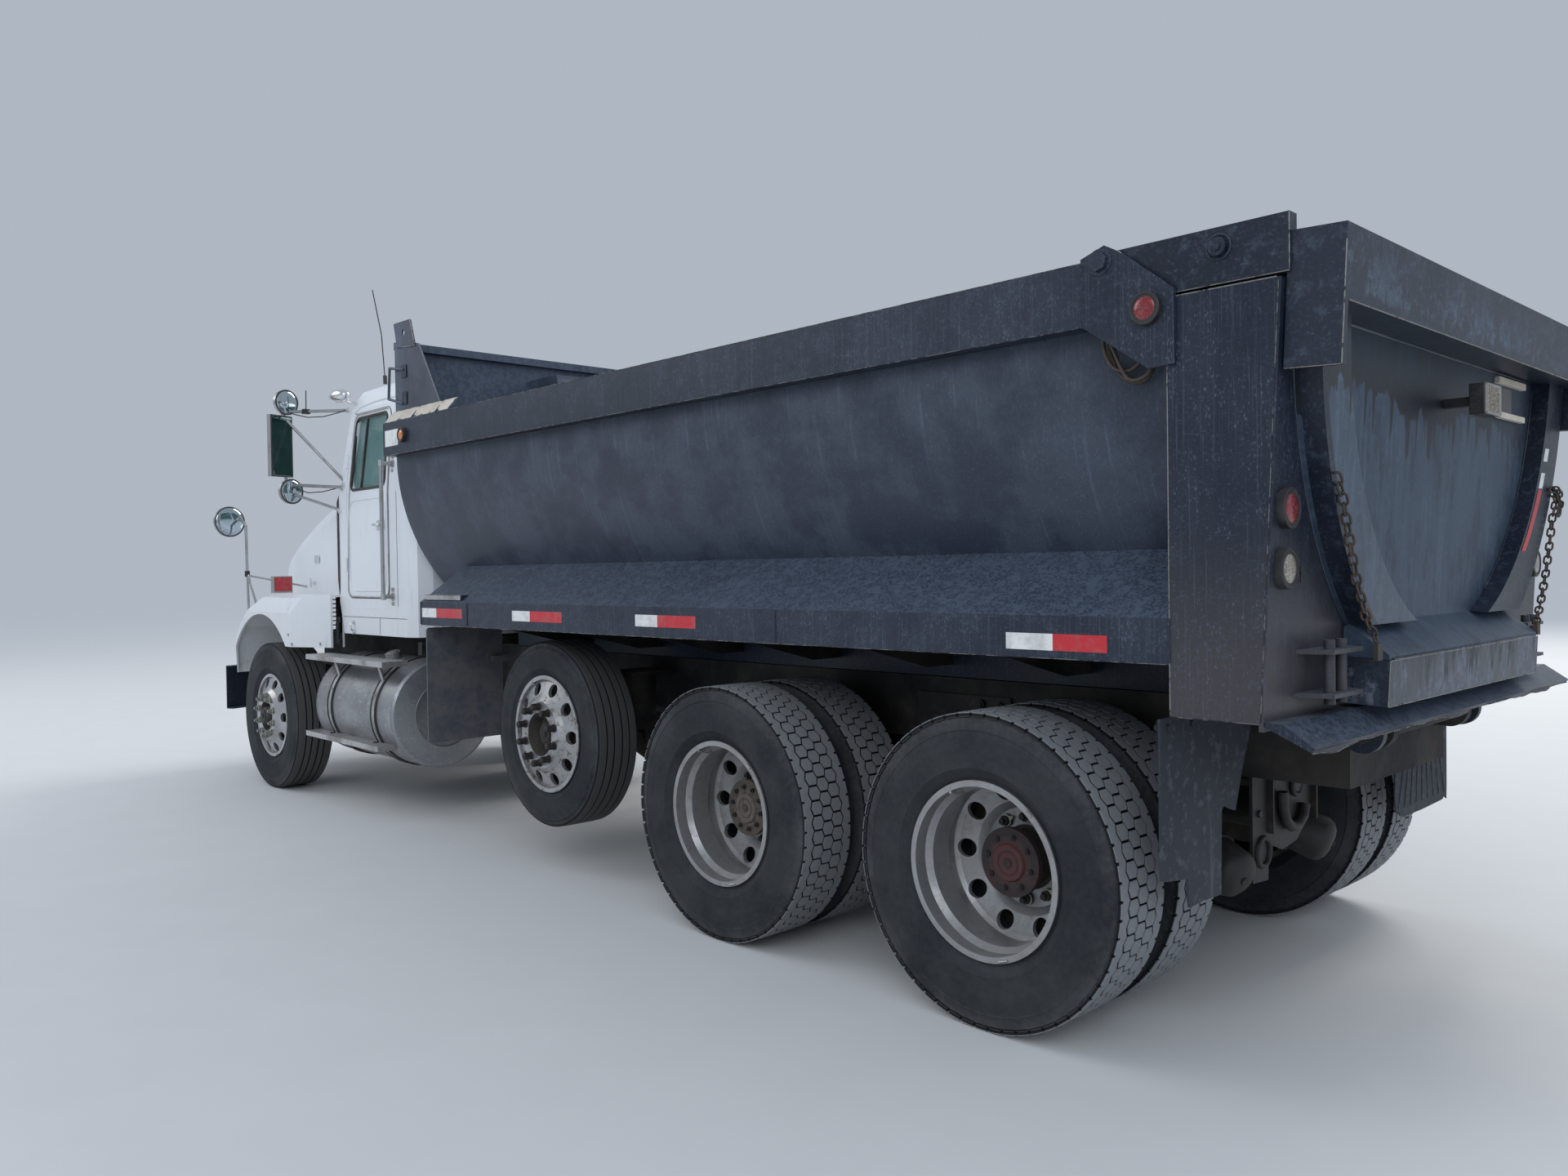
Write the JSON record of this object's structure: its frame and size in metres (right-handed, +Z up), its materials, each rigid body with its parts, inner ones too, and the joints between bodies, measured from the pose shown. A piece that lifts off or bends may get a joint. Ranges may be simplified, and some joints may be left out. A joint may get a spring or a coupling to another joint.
{
  "type": "dump truck",
  "caption": "Conventional-cab dump truck with a half-round tipping bed, tandem drive axle and lifted pusher axle; bed, tailgate, hood, doors, steering and wheels move.",
  "frame": {"origin": "middle of the truck's outline, on the ground under its wheels", "axes": "+X forward to the bumper, +Y to the driver's left, +Z up"},
  "size_m": [8.7397, 2.759, 3.3866],
  "materials": {
    "cab_paint": "glossy, chalking white",
    "bed_paint": "worn satin black",
    "chassis_paint": "dusty black",
    "bumper_paint": "satin black",
    "window_glass": "clear, slightly tinted",
    "cab_trim": "matt grey",
    "mirror_metal": "black heads on bright arms",
    "tank_aluminium": "polished, weathered",
    "step_aluminium": "brushed, dirty",
    "chain_steel": "rusty",
    "lamp_housing": "weathered",
    "lamp_red": "red lens",
    "grille_metal": "bright",
    "rod_chrome": "polished rod",
    "flap_rubber": "worn black",
    "tyre_rubber": "dusty black",
    "wheel_aluminium": "polished, dirty"
  },
  "bodies": {
    "chassis": {"frame": "chassis_paint", "bumper": "bumper_paint", "powertrain": "chassis_paint", "front_axle": "chassis_paint", "drive_axles": "chassis_paint", "pusher_axle": "chassis_paint", "fuel_tanks": "tank_aluminium", "tank_steps": "step_aluminium", "mud_flaps": "flap_rubber", "cab_shell": "cab_paint", "cab_glass": "window_glass", "cab_interior": "cab_trim", "cab_mirrors": "mirror_metal", "antennas": "mirror_metal"},
    "door_left": {"door_left": "cab_paint", "door_glass_left": "window_glass"},
    "door_right": {"door_right": "cab_paint", "door_glass_right": "window_glass"},
    "hood": {"hood_shell": "cab_paint", "grille": "grille_metal", "hood_lamps": "lamp_red", "fender_mirrors": "mirror_metal"},
    "knuckle_left": {"knuckle_left": "chassis_paint"},
    "knuckle_right": {"knuckle_right": "chassis_paint"},
    "tie_rod": {"tie_rod": "chassis_paint"},
    "bed": {"bed_tub": "bed_paint", "bed_sides": "bed_paint", "bed_rear_frame": "bed_paint", "bed_subframe": "bed_paint", "bed_ribs": "bed_paint", "bed_lamps": "lamp_red"},
    "tailgate": {"gate_panel": "bed_paint", "gate_frame": "bed_paint", "gate_lamp": "lamp_housing", "gate_chains": "chain_steel"},
    "hoist_barrel": {"hoist_barrel": "chassis_paint"},
    "hoist_stage_1": {"hoist_stage_1": "rod_chrome"},
    "hoist_stage_2": {"hoist_stage_2": "rod_chrome"},
    "hoist_stage_3": {"hoist_stage_3": "rod_chrome"},
    "wheel_steer_left": {"wheel_steer_left": "wheel_aluminium", "tyre_steer_left": "tyre_rubber"},
    "wheel_pusher_left": {"wheel_pusher_left": "wheel_aluminium", "tyre_pusher_left": "tyre_rubber"},
    "wheels_forward_left": {"wheels_forward_left": "wheel_aluminium", "tyres_forward_left": "tyre_rubber"},
    "wheels_rear_left": {"wheels_rear_left": "wheel_aluminium", "tyres_rear_left": "tyre_rubber"},
    "wheel_steer_right": {"wheel_steer_right": "wheel_aluminium", "tyre_steer_right": "tyre_rubber"},
    "wheel_pusher_right": {"wheel_pusher_right": "wheel_aluminium", "tyre_pusher_right": "tyre_rubber"},
    "wheels_forward_right": {"wheels_forward_right": "wheel_aluminium", "tyres_forward_right": "tyre_rubber"},
    "wheels_rear_right": {"wheels_rear_right": "wheel_aluminium", "tyres_rear_right": "tyre_rubber"}
  },
  "joints": [
    {"name": "bed_tilt", "type": "hinge", "parent": "chassis", "child": "bed", "pos_m": [-4.12, 0, 0.99], "axis": [0, -1, 0], "range_deg": [0, 45]},
    {"name": "tailgate_swing", "type": "hinge", "parent": "bed", "child": "tailgate", "pos_m": [-3.674, 0, 2.418], "axis": [0, 1, 0], "range_deg": [0, 60]},
    {"name": "hood_tilt", "type": "hinge", "parent": "chassis", "child": "hood", "pos_m": [4.21, 0, 0.905], "axis": [0, 1, 0], "range_deg": [0, 75]},
    {"name": "door_left_swing", "type": "hinge", "parent": "chassis", "child": "door_left", "pos_m": [2.273, 1.008, 1.99], "axis": [0, 0, -1], "range_deg": [0, 65]},
    {"name": "door_right_swing", "type": "hinge", "parent": "chassis", "child": "door_right", "pos_m": [2.273, -1.008, 1.99], "axis": [0, 0, 1], "range_deg": [0, 65]},
    {"name": "steer_left", "type": "hinge", "parent": "chassis", "child": "knuckle_left", "pos_m": [3.188, 0.88, 0.525], "axis": [0, 0, 1], "range_deg": [-32, 32]},
    {"name": "steer_right", "type": "hinge", "parent": "chassis", "child": "knuckle_right", "pos_m": [3.188, -0.88, 0.525], "axis": [0, 0, 1], "range_deg": [-32, 32]},
    {"name": "tie_rod_left_end", "type": "hinge", "parent": "knuckle_left", "child": "tie_rod", "pos_m": [2.938, 0.88, 0.415], "axis": [0, 0, 1], "range_deg": [-33, 33]},
    {"name": "roll_steer_left", "type": "hinge", "parent": "knuckle_left", "child": "wheel_steer_left", "pos_m": [3.188, 1.0795, 0.525], "axis": [0, 1, 0], "continuous": true},
    {"name": "roll_pusher_left", "type": "hinge", "parent": "chassis", "child": "wheel_pusher_left", "pos_m": [-0.36, 0.9775, 0.705], "axis": [0, 1, 0], "continuous": true},
    {"name": "roll_forward_left", "type": "hinge", "parent": "chassis", "child": "wheels_forward_left", "pos_m": [-1.848, 0.9145, 0.525], "axis": [0, 1, 0], "continuous": true},
    {"name": "roll_rear_left", "type": "hinge", "parent": "chassis", "child": "wheels_rear_left", "pos_m": [-3.19, 0.9145, 0.525], "axis": [0, 1, 0], "continuous": true},
    {"name": "roll_steer_right", "type": "hinge", "parent": "knuckle_right", "child": "wheel_steer_right", "pos_m": [3.188, -1.0795, 0.525], "axis": [0, 1, 0], "continuous": true},
    {"name": "roll_pusher_right", "type": "hinge", "parent": "chassis", "child": "wheel_pusher_right", "pos_m": [-0.36, -0.9775, 0.705], "axis": [0, 1, 0], "continuous": true},
    {"name": "roll_forward_right", "type": "hinge", "parent": "chassis", "child": "wheels_forward_right", "pos_m": [-1.848, -0.9145, 0.525], "axis": [0, 1, 0], "continuous": true},
    {"name": "roll_rear_right", "type": "hinge", "parent": "chassis", "child": "wheels_rear_right", "pos_m": [-3.19, -0.9145, 0.525], "axis": [0, 1, 0], "continuous": true},
    {"name": "hoist_lean", "type": "hinge", "parent": "chassis", "child": "hoist_barrel", "pos_m": [0.97, 0, 0.9], "axis": [0, -1, 0], "range_deg": [0, 30]},
    {"name": "hoist_stroke_1", "type": "slide", "parent": "hoist_barrel", "child": "hoist_stage_1", "axis": [0.0232, 0, 0.9997], "range_m": [0, 1.28]},
    {"name": "hoist_stroke_2", "type": "slide", "parent": "hoist_stage_1", "child": "hoist_stage_2", "axis": [0.0232, 0, 0.9997], "range_m": [0, 1.28]},
    {"name": "hoist_stroke_3", "type": "slide", "parent": "hoist_stage_2", "child": "hoist_stage_3", "axis": [0.0232, 0, 0.9997], "range_m": [0, 1.28]}
  ],
  "couplings": [
    {"joint": "steer_right", "follows": "steer_left", "ratio": 1},
    {"joint": "tie_rod_left_end", "follows": "steer_left", "ratio": -1},
    {"joint": "hoist_lean", "follows": "bed_tilt", "ratio": 0.65705},
    {"joint": "hoist_stroke_1", "follows": "bed_tilt", "m_per_rad": 1.6159},
    {"joint": "hoist_stroke_2", "follows": "bed_tilt", "m_per_rad": 1.6159},
    {"joint": "hoist_stroke_3", "follows": "bed_tilt", "m_per_rad": 1.6159}
  ]
}
